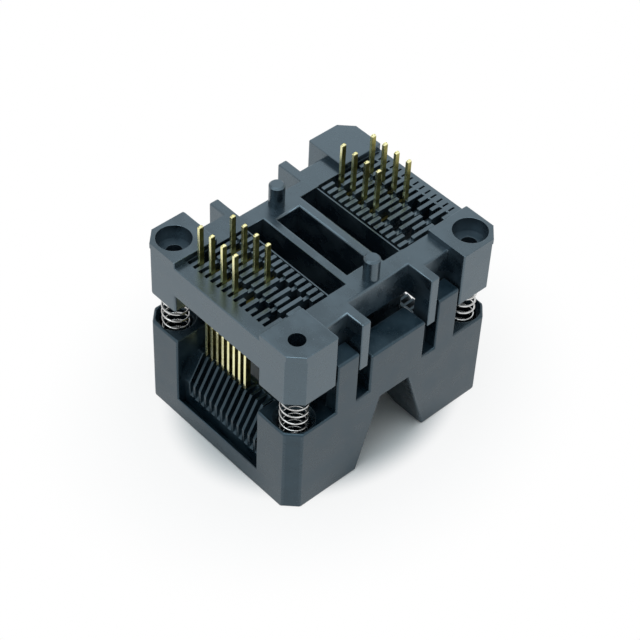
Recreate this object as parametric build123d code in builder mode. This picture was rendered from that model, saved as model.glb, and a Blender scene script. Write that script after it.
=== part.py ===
from build123d import *
from math import cos, pi, radians, sin, sqrt
import os

os.makedirs("parts", exist_ok=True)

# Open-top burn-in socket for a small-outline chip, lying upside down on its actuator cover.
# Z runs from the cover's outer face (0) up to the board side, X across the two contact rows, Y along them.
# All sizes are in millimetres. "Out" means the distance from the middle plane between the two rows.

# Contact grid
pitch = 0.65
slot_count = 15
first_fitted = 1
fitted_count = 8
inner_tail_out = 5.84
tail_row_step = 2.54
tail_shift_x = -0.31

# Outline shared by the base and the cover
body_length = 21.12
body_width = 17.42
cover_chamfer = 1.05
column_chamfer = 1.15
boss_chamfer = 1.05

# Heights, from the floor up
sill_height = 2.0
ledge_height = 8.51
travel = 2.4
column_stop_gap = 0.73
column_height = 5.2
boss_rise = 0.54
plate_thickness = 3.04
pillar_drop = 4.66

# Corner columns, springs and board holes
column_length = 4.17
column_width = 3.97
corner_inset_x = 1.74
corner_inset_y = 1.82
spring_diameter = 2.28
spring_wire = 0.20
spring_turns = 11
spring_bends_per_turn = 10
spring_pocket_depth = 4.0
spring_pocket_clearance = 0.16
spring_dish_radius = 1.62
spring_dish_depth = 0.55
spring_end_gap = 0.02
guide_stub_clearance = 0.08
guide_stub_length = 1.3
guide_stub_tip = 0.4
large_hole_radius = 1.40
large_hole_depth = 1.3
pilot_hole_radius = 0.65
pilot_hole_depth = 2.4
front_hole_radius = 0.675
front_hole_depth = 2.6

# Locating pegs
peg_radius = 0.65
peg_offset = 5.27
peg_height = 2.0
peg_tip_chamfer = 0.15

# Base plate, guide tabs and latch ledges
tab_inner_out = 3.09
tab_width = 0.86
tab_face_inset = 0.10
tab_depth = 1.61
tab_stop_gap = 0.59
plate_edge_mid = 6.11
plate_edge_side = 6.97
ledge_reach = 0.48
latch_ledge_height = 0.8
latch_ledge_drop = 0.26

# Comb of slots in the base
slot_width = 0.31
slot_inner_out = 3.85
slot_outer_out = 9.35
shoulder_reach = 0.35
shoulder_depth = 0.85
web_thickness = 0.12
web_drop = 0.12
web_groove_depth = 0.55
inner_pocket_out = 5.55
tail_pocket_length = 0.98
tail_pocket_depth = 1.0
rib_notch_length = 0.52
rib_notch_depth = 0.3
relief_slot_width = 0.16
relief_slot_length = 0.6
relief_slot_gap = 0.2
relief_slot_depth = 0.35

# Pillar of the base with its three pockets
pillar_half_width = 5.0
pillar_floor = 1.2
mid_pocket_half_x = 1.13
mid_pocket_half_y = 3.9
bar_width = 0.83
side_pocket_half_y = 4.65
pillar_wall = 0.25

# Contacts, stamped from sheet
contact_thickness = 0.25
contact_slot_gap = 0.05
tail_width = 0.42
tail_height = 3.26
tail_chamfer = 0.07
contact_body_height = 1.5
contact_lift = 0.06
fixed_arm_width = 0.40
fixed_arm_gap = 0.2
pad_tip_out = 2.75
pad_thickness = 0.32
pad_reach = 0.75

# Moving arm of each contact, which swings about the root of its spring beam
root_out = 6.9
root_drop = 0.86
arm_width = 0.40
root_gap = 0.05
hub_out = 6.35
hub_drop = 1.9
elbow_out = 5.3
nose_gap = 0.2
nose_out = 3.0
nose_dip = 0.75
lever_out = 8.0
lever_shoulder_drop = 2.6
lever_tip_height = 5.85
lever_width = 0.50
opening_angle = 11.5
bend_radius = 0.45

# Device seat
device_lift = 7.4
device_length = 5.0
device_width = 4.4
device_clearance = 0.05
seat_half_width = 2.45
seat_end_out = 4.9
seat_wall_drop = 1.0
seat_lead_in = 0.35
seat_stud_radius = 0.4
seat_stud_length = 0.9
seat_stud_clearance = 0.03
seat_stud_offset = 4.4
seat_stud_end_gap = 0.1

# Cover
window_half_width = 4.65
cover_floor = 1.9
opening_half_x = 4.3
opening_half_y = 4.75
opening_lead_in = 0.8
cavity_half_y = 5.3
comb_inner_out = 7.0
comb_top_out = 8.42
comb_top_height = 6.2
comb_front_out = 9.8
comb_front_height = 3.72
comb_slot_width = 0.40
cam_clearance = 0.08
sill_foot_drop = 0.9
notch_half_bottom = 3.61
notch_half_top = 1.47
notch_height = 6.96
guide_slot_inner_out = 2.82
guide_slot_outer_out = 4.13
finger_boss_gap = 0.16
finger_top_gap = 0.3
finger_back_gap = 0.1
finger_nose_gap = 0.08
latch_rest_gap = 0.05
block_top_height = 12.3
block_back_gap = 0.24

# Worked-out levels and places
half_length = body_length / 2
half_width = body_width / 2
column_bottom = ledge_height + travel + column_stop_gap
seat_level = column_bottom + column_height
plate_top = seat_level - boss_rise
plate_bottom = plate_top - plate_thickness
web_top = plate_top - web_drop
pillar_bottom = plate_bottom - pillar_drop
shoulder_level = plate_top - shoulder_depth
column_inner_x = half_length - column_length
column_inner_y = half_width - column_width
corner_x = half_length - corner_inset_x
corner_y = half_width - corner_inset_y
first_slot_y = pitch * (slot_count - 1) / 2
tab_outer_out = tab_inner_out + tab_width
tab_face = half_width - tab_face_inset
tab_bottom = ledge_height + travel + tab_stop_gap
latch_top = plate_bottom - latch_ledge_drop
finger_top = plate_top - travel - finger_top_gap
finger_back = plate_edge_side + ledge_reach + finger_back_gap
finger_outer_out = column_inner_x - finger_boss_gap
tail_top = seat_level + tail_height
body_outer_out = slot_outer_out + shoulder_reach - contact_slot_gap
body_inner_out = slot_inner_out + contact_slot_gap
body_top = shoulder_level - contact_lift
body_bottom = body_top - contact_body_height
root_level = plate_bottom - root_drop
fixed_arm_out = slot_inner_out + fixed_arm_gap + fixed_arm_width / 2
device_mid_y = pitch * (slot_count - fitted_count - 2 * first_fitted) / 2
spring_bottom = ledge_height - spring_pocket_depth
spring_radius = (spring_diameter - spring_wire) / 2

sides = {"left": -1, "right": 1}
corners = {"left": (-1, 1), "right": (1, -1), "front": (-1, -1), "back": (1, 1)}


def slot_y(index):
    """Y of a slot, counted from the +Y end."""
    return first_slot_y - pitch * index


def row_step(side, index):
    """Step from the inner row to a slot's row: the two rows alternate and start differently on each side."""
    in_outer_row = (index % 2 == 1) == (side < 0)
    return tail_row_step if in_outer_row else 0


def pocket_places(slots, inward_shift, y_shift):
    """Middles of the tail pockets of those slots in both combs, shifted inward and along Y."""
    places = []
    for side in sides.values():
        for index in slots:
            out = inner_pocket_out + row_step(side, index) - inward_shift
            places.append((side * out, slot_y(index) + y_shift))
    return places


def slot_plane(side, index):
    """Plane of a slot: sketch X runs outward on that side, sketch Y runs up."""
    return Plane(origin=(0, slot_y(index), 0), x_dir=(side, 0, 0), z_dir=(0, -side, 0))


def swung(point):
    """Place of an arm point after the arm has swung open."""
    out = point[0] - root_out
    rise = point[1] - root_level
    angle = radians(opening_angle)
    return (
        root_out + out * cos(angle) - rise * sin(angle),
        root_level + out * sin(angle) + rise * cos(angle),
    )


# The cam floor runs parallel to the way the lever tip travels over the rising cover.
lever_tip = (lever_out, lever_tip_height)
lever_tip_open = swung(lever_tip)
cam_run = lever_tip_open[0] - lever_tip[0]
cam_fall = lever_tip[1] + travel - lever_tip_open[1]
cam_length = sqrt(cam_run**2 + cam_fall**2)
cam_slope = cam_fall / cam_run
cam_offset = lever_width / 2 + cam_clearance
cam_start = (lever_tip[0] - cam_offset * cam_fall / cam_length, lever_tip[1] - cam_offset * cam_run / cam_length)


def cam_level(out):
    """Height of the cam floor in the cover, at rest, at a distance out."""
    return cam_start[1] - cam_slope * (out - cam_start[0])


# Base housing: one moulding with four corner columns, the plate with the comb of contact slots,
# the central pillar, the guide tabs and the latch ledges.
with BuildPart() as base_housing:
    with BuildSketch(Plane.XY.offset(plate_bottom)):
        Rectangle(body_length, 2 * column_inner_y)
        Rectangle(2 * column_inner_x, 2 * plate_edge_side)
        edge_step = plate_edge_side - plate_edge_mid
        with GridLocations(0, 2 * plate_edge_mid + edge_step, 1, 2):
            Rectangle(2 * tab_outer_out, edge_step, mode=Mode.SUBTRACT)
    extrude(amount=plate_thickness)
    for cap_bottom, cap_top, leg in (
        (column_bottom, plate_top, column_chamfer),
        (plate_top, seat_level, boss_chamfer),
    ):
        with BuildSketch(Plane.XY.offset(cap_bottom)) as columns:
            with GridLocations(body_length - column_length, body_width - column_width, 2, 2):
                Rectangle(column_length, column_width)
            reach = half_length + half_width
            outer_points = [v for v in columns.vertices() if abs(v.X) + abs(v.Y) > reach - 0.01]
            chamfer(outer_points, leg)
        extrude(amount=cap_top - cap_bottom)
    with BuildSketch(Plane.XY.offset(pillar_bottom)):
        Rectangle(2 * slot_inner_out, 2 * pillar_half_width)
    extrude(amount=plate_top - pillar_bottom)
    # Guide tabs, which run in slots of the cover
    with BuildSketch(Plane.XY.offset(tab_bottom)) as tabs:
        tab_mid_out = tab_inner_out + tab_width / 2
        with GridLocations(2 * tab_mid_out, 2 * tab_face - tab_depth, 2, 2):
            Rectangle(tab_width, tab_depth)
    extrude(amount=plate_top - tab_bottom)
    with BuildSketch(Plane.XY.offset(plate_bottom)):
        tab_neck = tab_face - plate_edge_mid
        with GridLocations(2 * tab_mid_out, 2 * tab_face - tab_neck, 2, 2):
            Rectangle(tab_width, tab_neck)
    extrude(amount=plate_thickness)
    # Latch ledges, which the cover's fingers hook over
    latch_mid_out = (tab_outer_out + column_inner_x) / 2
    latch_back = plate_edge_mid
    with BuildSketch(Plane.XY.offset(latch_top - latch_ledge_height)):
        latch_depth = plate_edge_side + ledge_reach - latch_back
        with GridLocations(2 * latch_mid_out, 2 * latch_back + latch_depth, 2, 2):
            Rectangle(column_inner_x - tab_outer_out, latch_depth)
    extrude(amount=latch_ledge_height)
    with BuildSketch(Plane.XY.offset(latch_top)):
        with GridLocations(2 * latch_mid_out, plate_edge_side + latch_back, 2, 2):
            Rectangle(column_inner_x - tab_outer_out, plate_edge_side - latch_back)
    extrude(amount=latch_ledge_drop)
    # Pockets of the pillar, left and right of two bars
    with BuildSketch(Plane.XY.offset(pillar_bottom + pillar_floor)):
        Rectangle(2 * mid_pocket_half_x, 2 * mid_pocket_half_y)
        side_inner = mid_pocket_half_x + bar_width
        side_outer = slot_inner_out - pillar_wall
        with GridLocations(side_inner + side_outer, 0, 2, 1):
            Rectangle(side_outer - side_inner, 2 * side_pocket_half_y)
    extrude(amount=plate_top - pillar_bottom, mode=Mode.SUBTRACT)
    # Thin web between those pockets and the ribs, a little lower than the ribs, with a groove behind it
    with BuildSketch(Plane.XY.offset(web_top)):
        with GridLocations(2 * slot_inner_out - pillar_wall, 0, 2, 1):
            Rectangle(pillar_wall, 2 * side_pocket_half_y)
    extrude(amount=plate_top - web_top, mode=Mode.SUBTRACT)
    with BuildSketch(Plane.XY.offset(plate_top)):
        groove_width = pillar_wall - web_thickness
        with GridLocations(2 * slot_inner_out - groove_width, 0, 2, 1):
            Rectangle(groove_width, 2 * side_pocket_half_y)
    extrude(amount=-web_groove_depth, mode=Mode.SUBTRACT)
    # Slots: narrow at the top, with a shoulder at the outer end below
    slot_middle = (slot_inner_out + slot_outer_out) / 2
    with BuildSketch(Plane.XY.offset(plate_bottom)):
        with GridLocations(2 * slot_middle, pitch, 2, slot_count):
            Rectangle(slot_outer_out - slot_inner_out, slot_width)
    extrude(amount=plate_top - plate_bottom, mode=Mode.SUBTRACT)
    with BuildSketch(Plane.XY.offset(plate_bottom)):
        with GridLocations(2 * slot_middle + shoulder_reach, pitch, 2, slot_count):
            Rectangle(slot_outer_out - slot_inner_out + shoulder_reach, slot_width)
    extrude(amount=shoulder_level - plate_bottom, mode=Mode.SUBTRACT)
    # Wide pockets round the tails, each taking the rib on its +Y side, and a notch in the other rib
    with BuildSketch(Plane.XY.offset(plate_top)):
        with Locations(*pocket_places(range(1, slot_count), 0, (pitch - slot_width) / 2)):
            Rectangle(tail_pocket_length, pitch)
    extrude(amount=-tail_pocket_depth, mode=Mode.SUBTRACT)
    with BuildSketch(Plane.XY.offset(plate_top)):
        with Locations(*pocket_places(range(slot_count - 1), tail_pocket_length / 2, -pitch / 2)):
            Rectangle(rib_notch_length, pitch - slot_width)
    extrude(amount=-rib_notch_depth, mode=Mode.SUBTRACT)
    # Short relief slots beyond the right comb
    relief_mid = slot_outer_out + relief_slot_gap + relief_slot_length / 2
    with BuildSketch(Plane.XY.offset(plate_top)):
        with Locations((relief_mid, 0)):
            with GridLocations(0, pitch, 1, slot_count):
                Rectangle(relief_slot_length, relief_slot_width)
    extrude(amount=-relief_slot_depth, mode=Mode.SUBTRACT)
    # Locating pegs
    with BuildSketch(Plane.XY.offset(plate_top)):
        with GridLocations(0, 2 * peg_offset, 1, 2):
            Circle(peg_radius)
    extrude(amount=peg_height)
    peg_tips = faces().filter_by(Plane.XY).group_by(Axis.Z)[-1].edges()
    chamfer(peg_tips, peg_tip_chamfer)
    # Guide stubs for the springs, with conical tips
    with BuildSketch(Plane.XY.offset(column_bottom)):
        stub_radius = spring_radius - spring_wire / 2 - guide_stub_clearance
        with GridLocations(2 * corner_x, 2 * corner_y, 2, 2):
            Circle(stub_radius)
    extrude(amount=-guide_stub_length)
    stub_tips = faces().filter_by(Plane.XY).filter_by(GeomType.PLANE)
    stub_tips = stub_tips.filter_by_position(
        Axis.Z, column_bottom - guide_stub_length - 0.01, column_bottom - guide_stub_length + 0.01
    )
    chamfer(stub_tips.edges(), guide_stub_tip)
    # Board holes: two counterbored ones at opposite corners and a small one at the front corner
    for name in ("left", "right"):
        sign_x, sign_y = corners[name]
        with BuildSketch(Plane.XY.offset(seat_level)):
            with Locations((sign_x * corner_x, sign_y * corner_y)):
                Circle(large_hole_radius)
        extrude(amount=-large_hole_depth, mode=Mode.SUBTRACT)
        with BuildSketch(Plane.XY.offset(seat_level - large_hole_depth)):
            with Locations((sign_x * corner_x, sign_y * corner_y)):
                Circle(pilot_hole_radius)
        extrude(amount=-pilot_hole_depth, mode=Mode.SUBTRACT)
    with BuildSketch(Plane.XY.offset(seat_level)):
        with Locations((-corner_x, -corner_y)):
            Circle(front_hole_radius)
    extrude(amount=-front_hole_depth, mode=Mode.SUBTRACT)
    # Blind holes that take the device seat's studs
    with BuildSketch(Plane.XY.offset(pillar_bottom)):
        with GridLocations(0, 2 * seat_stud_offset, 1, 2):
            Circle(seat_stud_radius + seat_stud_clearance)
    extrude(amount=seat_stud_length + seat_stud_end_gap, mode=Mode.SUBTRACT)
base_housing.part.label = "base_housing"
export_step(base_housing.part, "parts/base_housing.step")


# Contacts: each is stamped from sheet and stands in its own slot. Its body carries the solder tail above
# and, below, the fixed arm whose pad holds up one lead of the device.
def contact_name(side_name, index):
    return f"contact_{side_name}_{index - first_fitted + 1}"


for side_name, side in sides.items():
    for index in range(first_fitted, first_fitted + fitted_count):
        tail = inner_tail_out + row_step(side, index) + side * tail_shift_x
        body_mid = (body_inner_out + body_outer_out) / 2
        pad_level = device_lift + pad_thickness / 2
        stub_bottom = root_level + arm_width / 2 + root_gap
        with BuildPart() as contact:
            with BuildSketch(slot_plane(side, index)):
                with Locations((body_mid, (body_top + body_bottom) / 2)):
                    Rectangle(body_outer_out - body_inner_out, contact_body_height)
                with Locations((tail, (body_top + tail_top) / 2)):
                    Rectangle(tail_width, tail_top - body_top)
                with BuildLine():
                    Polyline(
                        (fixed_arm_out, body_bottom),
                        (fixed_arm_out, device_lift + pad_reach),
                        (fixed_arm_out - pad_reach / 2, pad_level),
                        (pad_tip_out, pad_level),
                    )
                trace(line_width=pad_thickness)
                # Stub of the spring beam, down to the place where the moving arm starts
                with Locations((root_out, (body_bottom + stub_bottom) / 2)):
                    Rectangle(arm_width, body_bottom - stub_bottom)
            extrude(amount=contact_thickness / 2, both=True)
            tail_end = faces().sort_by(Axis.Z)[-1]
            chamfer(tail_end.edges(), tail_chamfer)
        contact.part.label = contact_name(side_name, index)
        export_step(contact.part, f"parts/{contact_name(side_name, index)}.step")

        # Moving half of the contact: spring beam, nose that presses the lead and lever that the cam pushes
        nose_tip = (nose_out, device_lift - nose_gap - arm_width / 2)
        nose_low = device_lift - nose_gap - nose_dip
        hub = (hub_out, root_level - hub_drop)
        with BuildPart() as arm:
            with BuildSketch(slot_plane(side, index)):
                with BuildLine():
                    Polyline(
                        (root_out, root_level),
                        hub,
                        (elbow_out, device_lift),
                        (elbow_out - nose_dip, nose_low),
                        (nose_out + nose_dip / 2, nose_low),
                        nose_tip,
                    )
                trace(line_width=arm_width)
                with BuildLine():
                    FilletPolyline(
                        hub,
                        (lever_out, root_level - lever_shoulder_drop),
                        lever_tip,
                        radius=bend_radius,
                    )
                trace(line_width=lever_width)
                with Locations((root_out, root_level)):
                    Circle(arm_width / 2)
                with Locations(lever_tip):
                    Circle(lever_width / 2)
            extrude(amount=contact_thickness / 2, both=True)
        arm.part.label = f"{contact_name(side_name, index)}_arm"
        export_step(arm.part, f"parts/{contact_name(side_name, index)}_arm.step")

# Device seat: a moulded insert under the pillar that locates a chip for the contacts that are fitted
with BuildPart() as device_seat:
    with BuildSketch(Plane.XY.offset(device_lift)):
        Rectangle(2 * seat_half_width, 2 * seat_end_out)
    extrude(amount=pillar_bottom - device_lift)
    with BuildSketch(Plane.XY.offset(device_lift)):
        Rectangle(device_width, 2 * seat_end_out)
        with Locations((0, device_mid_y)):
            Rectangle(device_width, device_length + 2 * device_clearance, mode=Mode.SUBTRACT)
    extrude(amount=-seat_wall_drop)
    well_edges = faces().sort_by(Axis.Z)[0:2].edges().filter_by(Axis.X)
    near_device = [
        edge for edge in well_edges
        if abs(edge.center().Y - device_mid_y) < device_length / 2 + 2 * device_clearance
    ]
    chamfer(near_device, seat_lead_in)
    with BuildSketch(Plane.XY.offset(pillar_bottom)):
        with GridLocations(0, 2 * seat_stud_offset, 1, 2):
            Circle(seat_stud_radius)
    extrude(amount=seat_stud_length)
device_seat.part.label = "device_seat"
export_step(device_seat.part, "parts/device_seat.step")

# Springs: one under each corner column, reaching into a pocket of the cover. The wire is square in section
# and follows its helix in short straight bends.
for corner_name, (sign_x, sign_y) in corners.items():
    coil_bottom = spring_bottom + spring_wire / 2 + spring_end_gap
    coil_height = column_bottom - spring_bottom - spring_wire - 2 * spring_end_gap
    bend_count = spring_turns * spring_bends_per_turn
    coil_points = []
    for bend in range(bend_count + 1):
        turned = 2 * pi * bend / spring_bends_per_turn
        coil_points.append((
            sign_x * corner_x + spring_radius * cos(turned),
            sign_y * corner_y + spring_radius * sin(turned),
            coil_bottom + coil_height * bend / bend_count,
        ))
    with BuildPart() as spring:
        with BuildLine() as coil:
            Polyline(*coil_points)
        with BuildSketch(Plane(origin=coil.line @ 0, z_dir=coil.line % 0)):
            RegularPolygon(spring_wire / 2, 4)
        sweep(transition=Transition.RIGHT)
    spring.part.label = f"spring_{corner_name}"
    export_step(spring.part, f"parts/spring_{corner_name}.step")

# Actuator cover: a frame with spring pockets at its corners, windows over the cam combs,
# latch fingers and guide slots along its long walls, and the opening that the device goes through.
with BuildPart() as actuator_cover:
    with BuildSketch() as outline:
        Rectangle(body_length, body_width)
        chamfer(outline.vertices(), cover_chamfer)
    extrude(amount=ledge_height)
    # Cavity for the pillar and the contact arms
    with BuildSketch(Plane.XY.offset(cover_floor)):
        Rectangle(2 * comb_inner_out, 2 * cavity_half_y)
    extrude(amount=ledge_height, mode=Mode.SUBTRACT)
    # Windows, whose sills slope down towards the cam combs
    for side in sides.values():
        with BuildSketch(Plane(origin=(0, 0, 0), x_dir=(side, 0, 0), z_dir=(0, -side, 0))):
            with BuildLine():
                Polyline(
                    (comb_inner_out, comb_top_height),
                    (comb_top_out, comb_top_height),
                    (comb_front_out, comb_front_height),
                    (comb_front_out, sill_height - sill_foot_drop),
                    (half_length, sill_height),
                    (half_length, ledge_height),
                    (comb_inner_out, ledge_height),
                    close=True,
                )
            make_face()
        extrude(amount=window_half_width, both=True, mode=Mode.SUBTRACT)
        # Cam slots between the ribs, one for each lever; the posts of the window stand at the two end slots
        for index in range(1, slot_count - 1):
            with BuildSketch(slot_plane(side, index)):
                with BuildLine():
                    Polyline(
                        (cam_start[0] - (comb_top_height - cam_start[1]) / cam_slope, comb_top_height),
                        (comb_front_out, comb_top_height),
                        (comb_front_out, cam_level(comb_front_out)),
                        close=True,
                    )
                make_face()
            extrude(amount=comb_slot_width / 2, both=True, mode=Mode.SUBTRACT)
    # Middle blocks and latch fingers on the long walls
    with BuildSketch(Plane.XY.offset(ledge_height)):
        block_back = plate_edge_mid + block_back_gap
        with GridLocations(0, half_width + block_back, 1, 2):
            Rectangle(2 * guide_slot_inner_out, half_width - block_back)
    extrude(amount=block_top_height - ledge_height)
    with BuildSketch(Plane.XY.offset(ledge_height)):
        finger_mid_out = (guide_slot_outer_out + finger_outer_out) / 2
        with GridLocations(2 * finger_mid_out, half_width + finger_back, 2, 2):
            Rectangle(finger_outer_out - guide_slot_outer_out, half_width - finger_back)
    extrude(amount=finger_top - ledge_height)
    nose_bottom = latch_top + latch_rest_gap
    with BuildSketch(Plane.XY.offset(nose_bottom)):
        nose_inner_y = plate_edge_side + finger_nose_gap
        with GridLocations(2 * finger_mid_out, finger_back + nose_inner_y, 2, 2):
            Rectangle(finger_outer_out - guide_slot_outer_out, finger_back - nose_inner_y)
    extrude(amount=finger_top - nose_bottom)
    # Device opening with a lead-in all round
    with BuildSketch():
        Rectangle(2 * opening_half_x, 2 * opening_half_y)
    extrude(amount=cover_floor, mode=Mode.SUBTRACT)
    with BuildSketch() as mouth:
        Rectangle(2 * (opening_half_x + opening_lead_in), 2 * (opening_half_y + opening_lead_in))
    extrude(amount=opening_lead_in, taper=45, mode=Mode.SUBTRACT)
    # Tapered notches through the long walls
    with BuildSketch(Plane.XZ):
        with BuildLine():
            Polyline(
                (-notch_half_bottom, 0),
                (-notch_half_top, notch_height),
                (notch_half_top, notch_height),
                (notch_half_bottom, 0),
                close=True,
            )
        make_face()
    extrude(amount=half_width, both=True, mode=Mode.SUBTRACT)
    # Spring pockets with dished mouths
    with BuildSketch(Plane.XY.offset(ledge_height)):
        with GridLocations(2 * corner_x, 2 * corner_y, 2, 2):
            Circle(spring_diameter / 2 + spring_pocket_clearance)
    extrude(amount=-spring_pocket_depth, mode=Mode.SUBTRACT)
    for corner_place in GridLocations(2 * corner_x, 2 * corner_y, 2, 2).locations:
        with Locations(corner_place * Pos(0, 0, ledge_height - spring_dish_depth / 2)):
            Cone(
                spring_diameter / 2 + spring_pocket_clearance,
                spring_dish_radius,
                spring_dish_depth,
                mode=Mode.SUBTRACT,
            )
actuator_cover.part.label = "actuator_cover"
export_step(actuator_cover.part, "parts/actuator_cover.step")
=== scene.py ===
import math

import bmesh
import bpy
from mathutils import Matrix, Vector


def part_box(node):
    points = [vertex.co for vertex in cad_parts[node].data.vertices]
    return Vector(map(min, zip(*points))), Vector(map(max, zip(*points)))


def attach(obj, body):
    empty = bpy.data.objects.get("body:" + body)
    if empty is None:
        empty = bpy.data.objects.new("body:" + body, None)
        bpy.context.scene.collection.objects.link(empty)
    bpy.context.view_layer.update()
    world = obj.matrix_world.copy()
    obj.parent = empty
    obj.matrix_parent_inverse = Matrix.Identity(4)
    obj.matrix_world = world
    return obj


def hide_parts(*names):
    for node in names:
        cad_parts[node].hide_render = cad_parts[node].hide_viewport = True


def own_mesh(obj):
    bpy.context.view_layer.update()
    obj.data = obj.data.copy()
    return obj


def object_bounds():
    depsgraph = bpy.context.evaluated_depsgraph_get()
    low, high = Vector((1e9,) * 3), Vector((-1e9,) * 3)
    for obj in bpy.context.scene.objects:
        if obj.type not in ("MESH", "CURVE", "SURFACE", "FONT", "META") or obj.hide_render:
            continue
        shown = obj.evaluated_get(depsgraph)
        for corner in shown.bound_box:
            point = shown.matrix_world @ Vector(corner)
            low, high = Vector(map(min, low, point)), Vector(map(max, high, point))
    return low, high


# The looks of the burn-in socket, built around the frame of its CAD part. All lengths are in metres.
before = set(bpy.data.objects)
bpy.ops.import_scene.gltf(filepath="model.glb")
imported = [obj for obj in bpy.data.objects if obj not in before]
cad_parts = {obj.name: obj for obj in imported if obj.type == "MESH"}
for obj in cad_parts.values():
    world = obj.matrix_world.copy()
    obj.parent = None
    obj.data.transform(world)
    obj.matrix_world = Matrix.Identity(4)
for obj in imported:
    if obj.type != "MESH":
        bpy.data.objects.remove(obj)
cad_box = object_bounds()

# Camera: it looks down on the corner between the left and the front side, through a long lens, and is
# rolled a little. The image is taken to be square.
MM = 0.001
camera_azimuth = math.radians(-44.59)
camera_elevation = math.radians(45.80)
camera_roll = math.radians(3.03)
camera_target = Vector((0.462, 0.312, 7.0)) * MM
camera_distance = 147.6 * MM
camera_lens = 104.86
camera_sensor = 36.0
camera_near_limit = 5 * MM
camera_far_limit = 5000 * MM

away = Vector((
    math.sin(camera_azimuth) * math.cos(camera_elevation),
    -math.cos(camera_azimuth) * math.cos(camera_elevation),
    math.sin(camera_elevation),
))
level_right = Vector((0, 0, 1)).cross(away).normalized()
level_up = away.cross(level_right)
rolled_right = math.cos(camera_roll) * level_right + math.sin(camera_roll) * level_up
rolled_up = math.cos(camera_roll) * level_up - math.sin(camera_roll) * level_right
camera_data = bpy.data.cameras.new("camera")
camera_data.lens = camera_lens
camera_data.sensor_width = camera_sensor
camera_data.clip_start = camera_near_limit
camera_data.clip_end = camera_far_limit
camera = bpy.data.objects.new("camera", camera_data)
camera.matrix_world = Matrix.Translation(camera_target + camera_distance * away) @ (
    Matrix((rolled_right, rolled_up, away)).transposed().to_4x4()
)
bpy.context.scene.collection.objects.link(camera)
bpy.context.scene.camera = camera
bpy.context.scene.view_settings.view_transform = "Standard"


# Studio: a pale table that runs out into white, and four large soft lamps, at the left, at the right, behind
# and overhead. The room is a dim light, but the camera sees it white and the part mirrors it nearly white.
class Wire:
    """An output of a node. Arithmetic on it adds Math nodes."""

    def __init__(self, nodes, socket):
        self.nodes = nodes
        self.socket = socket

    def math(self, operation, first, second):
        return self.nodes.node("ShaderNodeMath", {"operation": operation}, {0: first, 1: second})

    def __add__(self, other):
        return self.math("ADD", self, other)

    def __radd__(self, other):
        return self.math("ADD", other, self)

    def __sub__(self, other):
        return self.math("SUBTRACT", self, other)

    def __rsub__(self, other):
        return self.math("SUBTRACT", other, self)

    def __mul__(self, other):
        return self.math("MULTIPLY", self, other)

    def __rmul__(self, other):
        return self.math("MULTIPLY", other, self)

    def __truediv__(self, other):
        return self.math("DIVIDE", self, other)

    def __rtruediv__(self, other):
        return self.math("DIVIDE", other, self)


class Nodes:
    """A node tree and the methods that add nodes to it."""

    def __init__(self, tree):
        self.tree = tree

    def feed(self, socket, value):
        if isinstance(value, Wire):
            self.tree.links.new(value.socket, socket)
        else:
            socket.default_value = value

    def node(self, kind, settings, inputs, output=0):
        """A node of that type, with its settings made first and then the values or links of its sockets."""
        made = self.tree.nodes.new(kind)
        for name, value in settings.items():
            setattr(made, name, value)
        for key, value in inputs.items():
            self.feed(made.inputs[key], value)
        return Wire(self, made.outputs[output])


class Finish(Nodes):
    """A material and the nodes that make it. The constants are values of the shader's own sockets."""

    def __init__(self, name, constants):
        self.material = bpy.data.materials.new(name)
        self.material.use_nodes = True
        super().__init__(self.material.node_tree)
        self.shader = self.tree.nodes["Principled BSDF"]
        for socket_name, value in constants.items():
            self.shader.inputs[socket_name].default_value = value

    def place(self):
        """Object coordinates, in metres, which are the part's own frame."""
        return self.node("ShaderNodeTexCoord", {}, {}, "Object")

    def noise(self, size, detail=2.0, stretch=(1, 1, 1)):
        """Noise from 0 to 1. Its patches have about that size, in metres, and stretch draws them out."""
        mapped = self.node(
            "ShaderNodeMapping",
            {"vector_type": "POINT"},
            {"Vector": self.place(), "Scale": [1 / (size * share) for share in stretch]},
        )
        return self.node("ShaderNodeTexNoise", {}, {"Vector": mapped, "Scale": 1.0, "Detail": detail})

    def ramp(self, factor, low, high, out_low=0.0, out_high=1.0):
        """The factor's range from low to high, smoothed and spread over the given outputs."""
        return self.node(
            "ShaderNodeMapRange",
            {"interpolation_type": "SMOOTHSTEP"},
            {"Value": factor, "From Min": low, "From Max": high, "To Min": out_low, "To Max": out_high},
        )

    def blend(self, factor, first, second):
        """A colour between two colours. A Mix node keeps its colour sockets behind those for other data."""
        first_colour = 6
        second_colour = 7
        colour_result = 2
        given = {"Factor": factor, first_colour: first, second_colour: second}
        return self.node("ShaderNodeMix", {"data_type": "RGBA"}, given, colour_result)

    def bump(self, height, distance, strength=1.0):
        """Small relief: the height runs from 0 to 1 over that distance, in metres."""
        relief = {"Height": height, "Distance": distance, "Strength": strength}
        self.feed(self.shader.inputs["Normal"], self.node("ShaderNodeBump", {}, relief))


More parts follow.
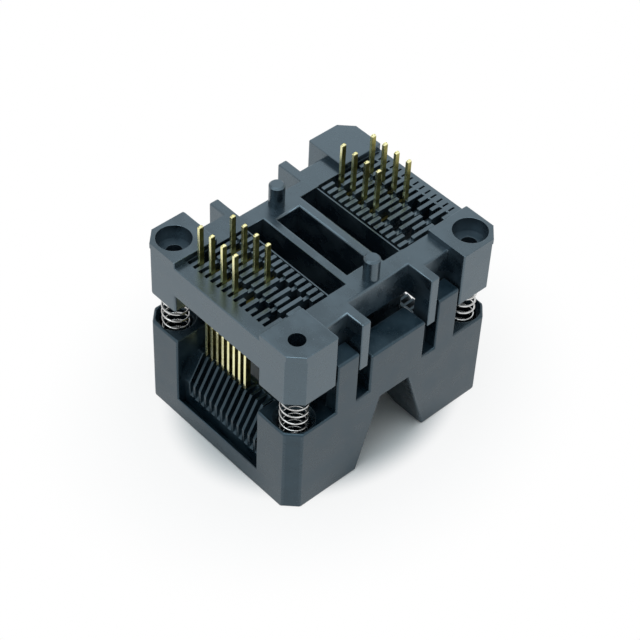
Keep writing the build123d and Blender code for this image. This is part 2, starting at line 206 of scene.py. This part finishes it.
floor_reach = 600 * MM
floor_cells = 4
floor_drop = 0.02 * MM
floor_tint = (0.87, 0.88, 0.87, 1)
floor_roughness = 0.7
pure_white = (1, 1, 1, 1)
footprint_half_x = cad_box[1][0]
footprint_half_y = cad_box[1][1]
bpy.ops.mesh.primitive_grid_add(
    x_subdivisions=floor_cells, y_subdivisions=floor_cells, size=2 * floor_reach, location=(0, 0, -floor_drop)
)
floor = bpy.context.object
floor.name = "table"
table_finish = Finish("table_top", {"Roughness": floor_roughness, "Base Color": floor_tint})
seen = sum(
    table_finish.node("ShaderNodeLightPath", {}, {}, kind)
    for kind in ("Is Camera Ray", "Is Glossy Ray", "Is Transmission Ray")
)
footprint_place = table_finish.node("ShaderNodeMapping", {"vector_type": "POINT"}, {
    "Vector": table_finish.place(),
    "Scale": (1 / footprint_half_x, 1 / footprint_half_y, 1),
})
from_middle = table_finish.node(
    "ShaderNodeVectorMath", {"operation": "LENGTH"}, {0: footprint_place}, "Value"
)
# Close to the part the table keeps its own shading, so that the soft shadow shows, and farther out it turns
# white. The distances are shares of the footprint's half length and half width.
shadow_start = 0.97
shadow_end = 1.30
white_start = 2.4
white_at_shadow_end = 0.86
leaving_shadow = table_finish.ramp(from_middle, shadow_start, shadow_end, out_high=white_at_shadow_end)
running_out = table_finish.ramp(from_middle, shadow_end, white_start, out_high=1 - white_at_shadow_end)
far = leaving_shadow + running_out
white = table_finish.node("ShaderNodeEmission", {}, {"Color": pure_white, "Strength": 1.0})
table_shader = table_finish.node("ShaderNodeMixShader", {}, {
    0: far * seen,
    1: Wire(table_finish, table_finish.shader.outputs[0]),
    2: white,
})
table_finish.feed(table_finish.tree.nodes["Material Output"].inputs["Surface"], table_shader)
floor.data.materials.append(table_finish.material)

room_strength = 0.12
room_mirrored_share = 0.78
cool_white = (0.86, 0.95, 1.0)
world = bpy.data.worlds.new("room")
world.use_nodes = True
bpy.context.scene.world = world
room = Nodes(world.node_tree)
camera_ray = room.node("ShaderNodeLightPath", {}, {}, "Is Camera Ray")
mirrored_ray = room.node("ShaderNodeLightPath", {}, {}, "Is Glossy Ray") * room_mirrored_share
room_seen = room.node("ShaderNodeMath", {"operation": "MAXIMUM"}, {0: camera_ray, 1: mirrored_ray})
room_light = room.node("ShaderNodeBackground", {}, {"Color": (*cool_white, 1), "Strength": room_strength})
room_white = room.node("ShaderNodeBackground", {}, {"Color": pure_white, "Strength": 1.0})
room_shader = room.node("ShaderNodeMixShader", {}, {0: room_seen, 1: room_light, 2: room_white})
room.feed(room.tree.nodes["World Output"].inputs["Surface"], room_shader)


def add_lamp(name, place, size, share, tint):
    """A square soft lamp that faces the part. Share is how bright it alone makes a white surface facing it,
    with 1 for full white."""
    lamp_data = bpy.data.lights.new(name, "AREA")
    distance = Vector(place).length
    lamp_data.energy = share * (math.pi * distance) ** 2
    lamp_data.size = size
    lamp_data.color = tint
    lamp = bpy.data.objects.new(name, lamp_data)
    facing = Vector(place).to_track_quat("Z", "Y")
    lamp.matrix_world = Matrix.Translation(place) @ facing.to_matrix().to_4x4()
    bpy.context.scene.collection.objects.link(lamp)


add_lamp("lamp_left", (-130 * MM, 20 * MM, 130 * MM), 150 * MM, 0.15, (0.90, 0.97, 1.0))
add_lamp("lamp_right", (40 * MM, -130 * MM, 120 * MM), 150 * MM, 0.08, (0.88, 0.96, 1.0))
add_lamp("lamp_back", (120 * MM, 120 * MM, 100 * MM), 100 * MM, 0.05, cool_white)
add_lamp("lamp_overhead", (-20 * MM, -10 * MM, 190 * MM), 140 * MM, 0.60, cool_white)


# Base housing: one dark glass-filled plastic moulding with the comb plate, the pillar with its pockets,
# four corner columns and two locating pegs. Its edges are slightly rounded, as the mould leaves them.
plastic_dark = (0.005, 0.010, 0.015, 1)
plastic_light = (0.019, 0.028, 0.036, 1)
# The next colour is the lighter tone of the rounded edges, a painted highlight.
plastic_highlight_tone = (0.030, 0.044, 0.056, 1)
plastic_sheen = (0.64, 0.86, 1.0, 1)
dust_tint = (0.16, 0.17, 0.18, 1)
noise_middle = 0.5

# How CAD triangles become a softened piece: points nearer than the weld distance are joined, triangles
# within the flat angle become one face, edges sharper than the crease angle are real ones, and those that
# stick out by more than the edge angle are rounded, by no more than a share of the shortest edge beside them.
weld_distance = 0.0005 * MM
flat_angle = math.radians(0.6)
crease_angle = math.radians(5)
edge_angle = math.radians(25)
edge_share = 0.15
rounding_segments = 2
quad_corners = 4
# How far the faces that share a smooth normal may turn from each other, on barrels and on rounded edges
barrel_reach = math.radians(20)
rounded_reach = math.radians(60)


def moulded_plastic(name, dark, light, sheen, roughness, ior, gloss):
    """Glass-filled plastic with faint flow marks, a fine grain and a few specks of dust. The flow marks are
    lighter and rougher, and the sheen tints what the plastic mirrors."""
    finish = Finish(name, {"Specular Tint": sheen, "IOR": ior, "Specular IOR Level": gloss})
    flow = finish.noise(size=1.9 * MM, detail=4.0, stretch=(1.0, 1.5, 1.0))
    grain = finish.noise(size=0.09 * MM, detail=2.0)
    specks = finish.noise(size=0.13 * MM, detail=1.0)
    body_tint = finish.blend(finish.ramp(flow, low=0.38, high=0.68), dark, light)
    dust = finish.ramp(specks, low=0.70, high=0.78, out_high=0.4)
    finish.feed(finish.shader.inputs["Base Color"], finish.blend(dust, body_tint, dust_tint))
    smoothest = roughness - 0.06
    roughest = roughness + 0.09
    grain_share = 0.10
    flow_roughness = finish.ramp(flow, low=0.3, high=0.7, out_low=smoothest, out_high=roughest)
    finish.feed(finish.shader.inputs["Roughness"], flow_roughness + (grain - noise_middle) * grain_share)
    finish.bump(grain, distance=0.005 * MM, strength=0.5)
    return finish.material


def even_shading(mesh, rounded_index):
    """Normals that leave each flat face flat, run smoothly round each barrel, and turn on rounded edges."""
    faces_at = [[] for vertex in mesh.vertices]
    for face in mesh.polygons:
        for vertex in face.vertices:
            faces_at[vertex].append(face)
    normals = []
    for face in mesh.polygons:
        rounded = face.material_index == rounded_index
        reach = rounded_reach if rounded else barrel_reach
        for vertex in face.vertices:
            near = [
                other for other in faces_at[vertex]
                if other.material_index != rounded_index
                and other.normal.angle(face.normal, math.pi) < reach
            ]
            if rounded and not near:
                near = faces_at[vertex]
            total = sum((other.area * other.normal for other in near), Vector((0, 0, 0)))
            normals.append(total.normalized() if total.length else face.normal)
    mesh.normals_split_custom_set(normals)


def softened(name, node, materials, widest, crown_level=math.inf):
    """A piece made from a CAD node: its triangles are joined into flat faces and its outer edges rounded.
    The last material goes on the rounded edges. Edges above the crown level get the widest rounding."""
    work = bmesh.new()
    work.from_mesh(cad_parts[node].data)
    bmesh.ops.remove_doubles(work, verts=work.verts, dist=weld_distance)
    bmesh.ops.dissolve_limit(work, angle_limit=flat_angle, verts=work.verts, edges=work.edges)
    many_sided = [face for face in work.faces if len(face.verts) > quad_corners]
    bmesh.ops.triangulate(work, faces=many_sided, quad_method="BEAUTY", ngon_method="BEAUTY")
    weight = work.edges.layers.float.new("bevel_weight_edge")
    real_edges = {edge for edge in work.edges if edge.calc_face_angle(math.pi) > crease_angle}
    for edge in real_edges:
        if edge.calc_face_angle_signed(0) > edge_angle:
            shortest = min(
                near.calc_length() for vert in edge.verts for near in vert.link_edges if near in real_edges
            )
            crowned = min(vert.co.z for vert in edge.verts) > crown_level
            edge[weight] = 1.0 if crowned else min(1.0, edge_share * shortest / widest)
    for face in work.faces:
        face.smooth = True
        face.material_index = 0
    mesh = bpy.data.meshes.new(name)
    work.to_mesh(mesh)
    work.free()
    shell = bpy.data.objects.new(name + "_shell", mesh)
    bpy.context.scene.collection.objects.link(shell)
    for material in materials:
        mesh.materials.append(material)
    rounding = shell.modifiers.new("rounding", "BEVEL")
    rounding.width = widest
    rounding.segments = rounding_segments
    rounding.limit_method = "WEIGHT"
    rounding.use_clamp_overlap = False
    rounding.material = len(materials) - 1
    bpy.context.view_layer.update()
    rounded_shell = shell.evaluated_get(bpy.context.evaluated_depsgraph_get())
    finished = bpy.data.meshes.new_from_object(rounded_shell)
    finished.name = name
    bpy.data.objects.remove(shell)
    even_shading(finished, len(materials) - 1)
    piece = bpy.data.objects.new(name, finished)
    bpy.context.scene.collection.objects.link(piece)
    return piece


base_plastic = moulded_plastic(
    "base_plastic", plastic_dark, plastic_light, plastic_sheen, roughness=0.27, ior=1.68, gloss=1.0
)
# The rounded edges get a lighter copy of the plastic: a painted highlight.
base_edge_highlight = moulded_plastic(
    "base_painted_edge_highlight", plastic_light, plastic_highlight_tone, plastic_sheen, roughness=0.25, ior=1.68, gloss=1.0
)
housing = softened("housing_moulding", "base_housing", [base_plastic, base_edge_highlight], widest=0.19 * MM)
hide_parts("base_housing")
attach(housing, "base")

# Device seat: a small insert of a duller dark plastic that places the chip. It is moulded, and its studs
# hold it in the foot of the base's pillar.
seat_dark = (0.006, 0.012, 0.018, 1)
seat_plastic = moulded_plastic(
    "seat_plastic", seat_dark, plastic_dark, plastic_sheen, roughness=0.4, ior=1.62, gloss=0.6
)
# The seat's rounded edges share the base's painted edge highlight.
seat = softened("seat_moulding", "device_seat", [seat_plastic, base_edge_highlight], widest=0.08 * MM)
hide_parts("device_seat")
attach(seat, "base")

# Actuator cover: the second large moulding of dark glass-filled plastic, a frame with spring pockets, cam
# combs behind two windows, latch fingers and guide slots. Its fingers clip it to the base, and it slides.
cover_dark = (0.003, 0.010, 0.016, 1)
cover_light = (0.013, 0.025, 0.035, 1)
# The next colour is the lighter tone of the cover's rounded edges, a painted highlight.
cover_highlight_tone = (0.022, 0.036, 0.048, 1)
cover_sheen = (0.54, 0.82, 1.0, 1)
cover_plastic = moulded_plastic(
    "cover_plastic", cover_dark, cover_light, cover_sheen, roughness=0.30, ior=1.60, gloss=0.56
)
# The cover's rounded edges get a lighter copy of its plastic: a painted highlight.
cover_edge_highlight = moulded_plastic(
    "cover_painted_edge_highlight", plastic_light, cover_highlight_tone, cover_sheen, roughness=0.27, ior=1.60, gloss=0.58
)
cover = softened("cover_moulding", "actuator_cover", [cover_plastic, cover_edge_highlight], widest=0.20 * MM)
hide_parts("actuator_cover")
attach(cover, "cover")


# Contacts: strips stamped from sheet copper alloy and plated with gold, each in its slot of the comb. The
# sheared edges and the tips are painted pale and bright as a painted highlight, the flat faces darker as a
# painted shade, and what is in the comb darker still as a painted shade.
# Colours in pairs: a painted shade for the flat faces, a darker painted shade for what is in the comb, and a
# painted highlight for the sheared edges and tips.
gold_shade_deep = (0.22, 0.20, 0.05, 1)
gold_shade_pale = (0.40, 0.36, 0.11, 1)
gold_comb_shade_dark = (0.04, 0.035, 0.010, 1)
gold_comb_shade_light = (0.09, 0.08, 0.025, 1)
gold_highlight_deep = (0.94, 0.89, 0.44, 1)
gold_highlight_pale = (1.0, 0.97, 0.60, 1)


def gold_plate(name, dark, light, roughness, streak_share):
    """Gold plating with a slightly uneven tone and streaks along Z, the way the strip was cut."""
    finish = Finish(name, {"Metallic": 1.0})
    tone = finish.noise(size=0.5 * MM, detail=3.0)
    streaks = finish.noise(size=0.035 * MM, detail=2.0, stretch=(1.0, 1.0, 14.0))
    tone_share = 0.1
    gold_tint = finish.blend(finish.ramp(tone, low=0.3, high=0.7), dark, light)
    uneven = (streaks - noise_middle) * streak_share + (tone - noise_middle) * tone_share
    finish.feed(finish.shader.inputs["Base Color"], gold_tint)
    finish.feed(finish.shader.inputs["Roughness"], roughness + uneven)
    finish.bump(streaks, distance=0.004 * MM, strength=0.5)
    return finish.material


# Three painted copies of one gold: painted shade on the flat faces, darker painted shade in the comb, painted
# highlight on the sheared edges and tips.
gold_face_painted_shade = gold_plate("contact_face_painted_shade", gold_shade_deep, gold_shade_pale, 0.30, streak_share=0.12)
gold_root_painted_shade = gold_plate("contact_root_painted_shade", gold_comb_shade_dark, gold_comb_shade_light, 0.50, streak_share=0.10)
gold_edge_painted_highlight = gold_plate("contact_edge_painted_highlight", gold_highlight_deep, gold_highlight_pale, 0.24, streak_share=0.20)
gold_materials = [gold_face_painted_shade, gold_root_painted_shade, gold_edge_painted_highlight]
shaded_face_index, shaded_root_index, highlit_edge_index = range(len(gold_materials))
contact_rounding = 0.075 * MM
# A fixed half is in the comb below the plate level, and the tips of the tails begin at the tip level. A face
# is a sheared edge where its normal has less than the flat face share along Y.
plate_level = 16.0 * MM
tip_level = 19.9 * MM
flat_face_share = 0.5
for node in sorted(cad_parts):
    if node.startswith("contact_"):
        body = "base"
        if node.endswith("_arm"):
            body = "left_arms" if "_left_" in node else "right_arms"
        strip = softened(node.replace("contact", "strip"), node, gold_materials, contact_rounding, tip_level)
        # Painted light by face: a painted shade in the comb below the plate level, a painted highlight on
        # sheared edges and tips, a painted shade on the flat faces.
        for face in strip.data.polygons:
            if body == "base" and face.center.z < plate_level:
                face.material_index = shaded_root_index
            elif abs(face.normal.y) < flat_face_share or face.center.z > tip_level:
                face.material_index = highlit_edge_index
            else:
                face.material_index = shaded_face_index
        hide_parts(node)
        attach(strip, body)


# Springs: four coils of bright round spring wire with closed ends. Each stands in a pocket of the cover,
# round the stub of a corner column, and is attached to the base.
spring_turns = 10.5
spring_wire = 0.17 * MM
spring_points_per_turn = 28
spring_wire_sides = 10
closed_turn_rise = 1.05
wire_bright = (0.70, 0.70, 0.69, 1)
wire_dull = (0.46, 0.46, 0.45, 1)


def coil_tree():
    """Geometry Nodes: a coil of round wire with closed ends, standing on the origin. Its first and last turns
    rise by little more than the wire's own width, and the open turns between them make the rest."""
    tree = bpy.data.node_groups.new("spring_coil", "GeometryNodeTree")
    number_names = ("Height", "Radius", "Wire Radius", "Turns")
    for name in number_names:
        tree.interface.new_socket(name, in_out="INPUT", socket_type="NodeSocketFloat")
    tree.interface.new_socket("Material", in_out="INPUT", socket_type="NodeSocketMaterial")
    tree.interface.new_socket("Geometry", in_out="OUTPUT", socket_type="NodeSocketGeometry")
    nodes = Nodes(tree)
    height, radius, wire_radius, turns = (
        nodes.node("NodeGroupInput", {}, {}, name) for name in number_names
    )
    material = nodes.node("NodeGroupInput", {}, {}, "Material")
    along = nodes.node("GeometryNodeSplineParameter", {}, {})

    def climb(start, end, rise):
        """How much of a rise is made, where the wire climbs from one share of its length to another."""
        return nodes.node(
            "ShaderNodeMapRange",
            {"clamp": True},
            {"Value": along, "From Min": start, "From Max": end, "To Min": 0.0, "To Max": rise},
        )

    first_turn_end = 1.0 / turns
    last_turn_start = 1.0 - first_turn_end
    wire_width = wire_radius * 2.0
    closed_rise = wire_width * closed_turn_rise
    open_rise = height - wire_width - closed_rise * 2.0
    first_climb = climb(0.0, first_turn_end, closed_rise)
    open_climb = climb(first_turn_end, last_turn_start, open_rise)
    last_climb = climb(last_turn_start, 1.0, closed_rise)
    wire_middle = first_climb + open_climb + last_climb + wire_radius
    spiral = nodes.node("GeometryNodeCurveSpiral", {}, {
        "Resolution": spring_points_per_turn,
        "Rotations": turns,
        "Start Radius": radius,
        "End Radius": radius,
        "Height": 0.0,
    })
    offset = nodes.node("ShaderNodeCombineXYZ", {}, {"Z": wire_middle})
    placed = nodes.node("GeometryNodeSetPosition", {}, {"Geometry": spiral, "Offset": offset})
    section = nodes.node("GeometryNodeCurvePrimitiveCircle", {}, {
        "Resolution": spring_wire_sides,
        "Radius": wire_radius,
    })
    swept = {"Curve": placed, "Profile Curve": section, "Fill Caps": True}
    wire = nodes.node("GeometryNodeCurveToMesh", {}, swept)
    smooth = nodes.node("GeometryNodeSetShadeSmooth", {}, {"Geometry": wire})
    real = nodes.node("GeometryNodeRealizeInstances", {}, {"Geometry": smooth})
    coated = nodes.node("GeometryNodeSetMaterial", {}, {"Geometry": real, "Material": material})
    nodes.feed(tree.nodes.new("NodeGroupOutput").inputs["Geometry"], coated)
    return tree


def spring_steel():
    """Bright drawn wire with a few duller stretches."""
    finish = Finish("spring_steel", {"Metallic": 1.0})
    dull = finish.noise(size=0.6 * MM, detail=2.0)
    drawn = finish.noise(size=0.03 * MM, detail=1.0, stretch=(1.0, 1.0, 0.6))
    wire_tint = finish.blend(finish.ramp(dull, low=0.35, high=0.7), wire_bright, wire_dull)
    wire_roughness = finish.ramp(dull, low=0.3, high=0.8, out_low=0.16, out_high=0.32)
    finish.feed(finish.shader.inputs["Base Color"], wire_tint)
    finish.feed(finish.shader.inputs["Roughness"], wire_roughness)
    finish.bump(drawn, distance=0.003 * MM, strength=0.4)
    return finish.material


def from_tree(name, tree, values):
    """The plain mesh that a tree makes from its named inputs."""
    holder = bpy.data.objects.new(name + "_holder", bpy.data.meshes.new(name + "_holder"))
    bpy.context.scene.collection.objects.link(holder)
    modifier = holder.modifiers.new("shape", "NODES")
    modifier.node_group = tree
    for item in tree.interface.items_tree:
        if item.in_out == "INPUT" and item.name in values:
            modifier[item.identifier] = values[item.name]
    holder.data.update()
    bpy.context.view_layer.update()
    shaped_holder = holder.evaluated_get(bpy.context.evaluated_depsgraph_get())
    mesh = bpy.data.meshes.new_from_object(shaped_holder)
    bpy.data.objects.remove(holder)
    mesh.name = name
    piece = bpy.data.objects.new(name, mesh)
    bpy.context.scene.collection.objects.link(piece)
    return piece


spring_tree = coil_tree()
spring_metal = spring_steel()
for corner in ("left", "right", "front", "back"):
    low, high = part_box("spring_" + corner)
    spring_height = high.z - low.z
    spring_radius = (high.x - low.x - spring_wire) / 2
    coil = from_tree("coil_" + corner, spring_tree, {
        "Height": spring_height,
        "Radius": spring_radius,
        "Wire Radius": spring_wire / 2,
        "Turns": spring_turns,
        "Material": spring_metal,
    })
    coil.data.transform(Matrix.Translation(((low.x + high.x) / 2, (low.y + high.y) / 2, low.z)))
    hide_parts("spring_" + corner)
    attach(coil, "base")
    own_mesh(coil)
